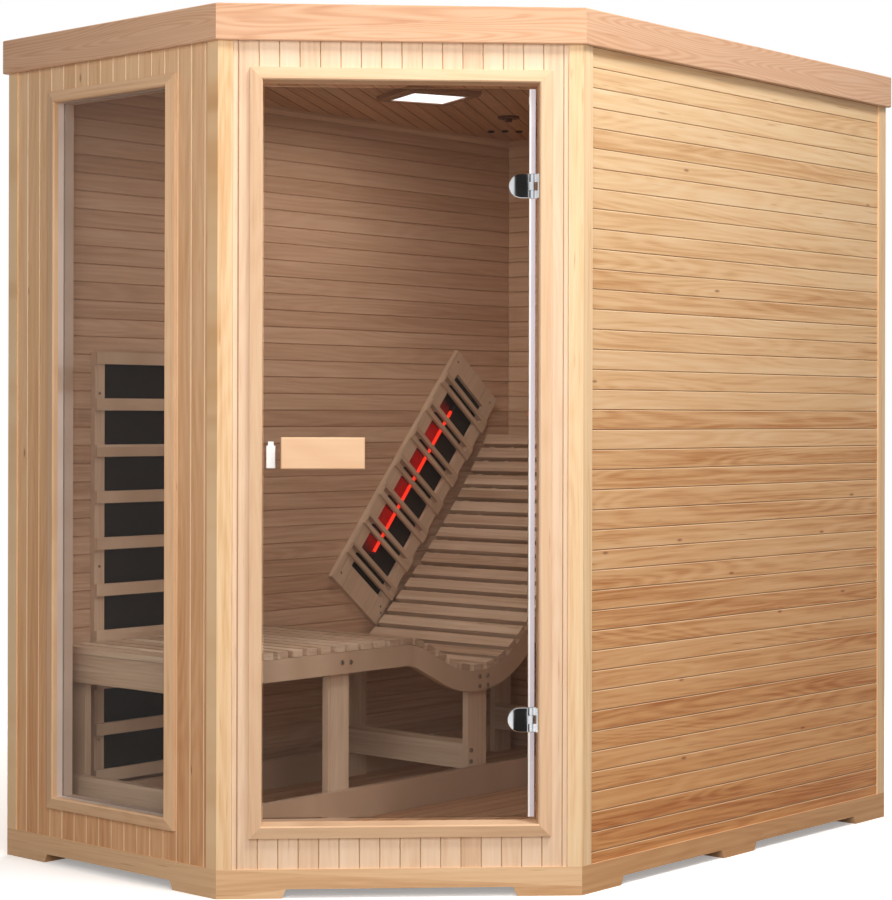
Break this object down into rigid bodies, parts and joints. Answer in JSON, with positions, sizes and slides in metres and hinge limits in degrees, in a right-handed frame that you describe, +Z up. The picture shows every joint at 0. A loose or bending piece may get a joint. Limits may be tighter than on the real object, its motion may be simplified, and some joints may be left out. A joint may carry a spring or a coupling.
{
  "type": "infrared sauna cabin",
  "caption": "Corner-door wooden infrared sauna cabin with glass door and window, curved slatted lounger, heater guards and ceiling lamp.",
  "frame": {"origin": "on the ground under the middle of the cabin's outer box", "axes": "+Z up, -Y out of the window, +X out of the long right wall; the door faces between -Y and +X"},
  "size_m": [1.29, 1.83, 1.9],
  "materials": {
    "strip": "satin",
    "inner": "satin",
    "window_wood": "satin",
    "door_wood": "satin",
    "side": "satin",
    "roof": "satin",
    "slats": "satin",
    "glass": "polished",
    "chrome": "polished",
    "black_panel": "matte",
    "tube": "glowing",
    "seal": "satin",
    "white": "satin",
    "lens": "frosted",
    "dark": "satin",
    "box_metal": "matte"
  },
  "bodies": {
    "cabin": {"foot_front_left": "strip", "foot_door_left": "strip", "foot_door_right": "strip", "foot_back_right": "strip", "foot_back_left": "strip", "foot_right_middle": "strip", "base_frame": "strip", "corner_strip_front_left": "strip", "corner_strip_door_left": "strip", "corner_strip_door_right": "strip", "corner_strip_back_right": "strip", "corner_strip_back_left": "strip", "floor_panel": "inner", "ceiling_panel": "inner", "ceiling_cornice": "inner", "window_wall": "window_wood", "window_moulding": "window_wood", "window_jamb": "window_wood", "door_wall": "door_wood", "door_moulding": "door_wood", "door_jamb": "door_wood", "right_wall": "side", "back_wall": "side", "left_wall": "side", "roof_fascia": "roof", "roof_cover": "roof", "lounger_leg_slats": "slats", "lounger_seat_slats": "slats", "lounger_back_slats": "slats", "lounger_rail_near": "slats", "lounger_rail_far": "slats", "lounger_floor_rail_near": "slats", "lounger_floor_rail_far": "slats", "lounger_trestle_leg": "slats", "lounger_trestle_seat": "slats", "lounger_trestle_back": "slats", "lounger_trestle_front": "slats", "lounger_apron": "slats", "wall_heater_guard": "slats", "slant_heater_guard": "slats", "window_glass": "glass", "hinge_leaf_lower": "chrome", "hinge_leaf_upper": "chrome", "wall_heater_panel": "black_panel", "slant_heater_panel": "black_panel", "slant_heater_tube": "tube", "lamp_lens": "lens", "lamp_housing": "dark", "control_panel": "dark", "power_supply_box": "box_metal"},
    "door": {"door_glass": "glass", "door_pull_outer": "strip", "door_pull_inner": "strip", "door_seal": "seal", "door_catch": "white", "hinge_clamp_lower": "chrome", "hinge_clamp_upper": "chrome"},
    "vent": {"vent_cap": "inner"},
    "heat_button": {"button_heat": "white"},
    "light_button": {"button_light": "white"}
  },
  "joints": [
    {"name": "door_hinge", "type": "hinge", "parent": "cabin", "child": "door", "pos_m": [0.54357, -0.41614, 0.95], "axis": [0, 0, 1], "range_deg": [0, 90]},
    {"name": "vent_turn", "type": "hinge", "parent": "cabin", "child": "vent", "pos_m": [-0.231, 0.43, 1.82], "axis": [0, 0, 1], "range_deg": [0, 45]},
    {"name": "heat_button_push", "type": "slide", "parent": "cabin", "child": "heat_button", "axis": [1, 0, 0], "range_m": [0, 0.0015], "stiffness_N_per_m": 600},
    {"name": "light_button_push", "type": "slide", "parent": "cabin", "child": "light_button", "axis": [1, 0, 0], "range_m": [0, 0.0015], "stiffness_N_per_m": 600}
  ]
}
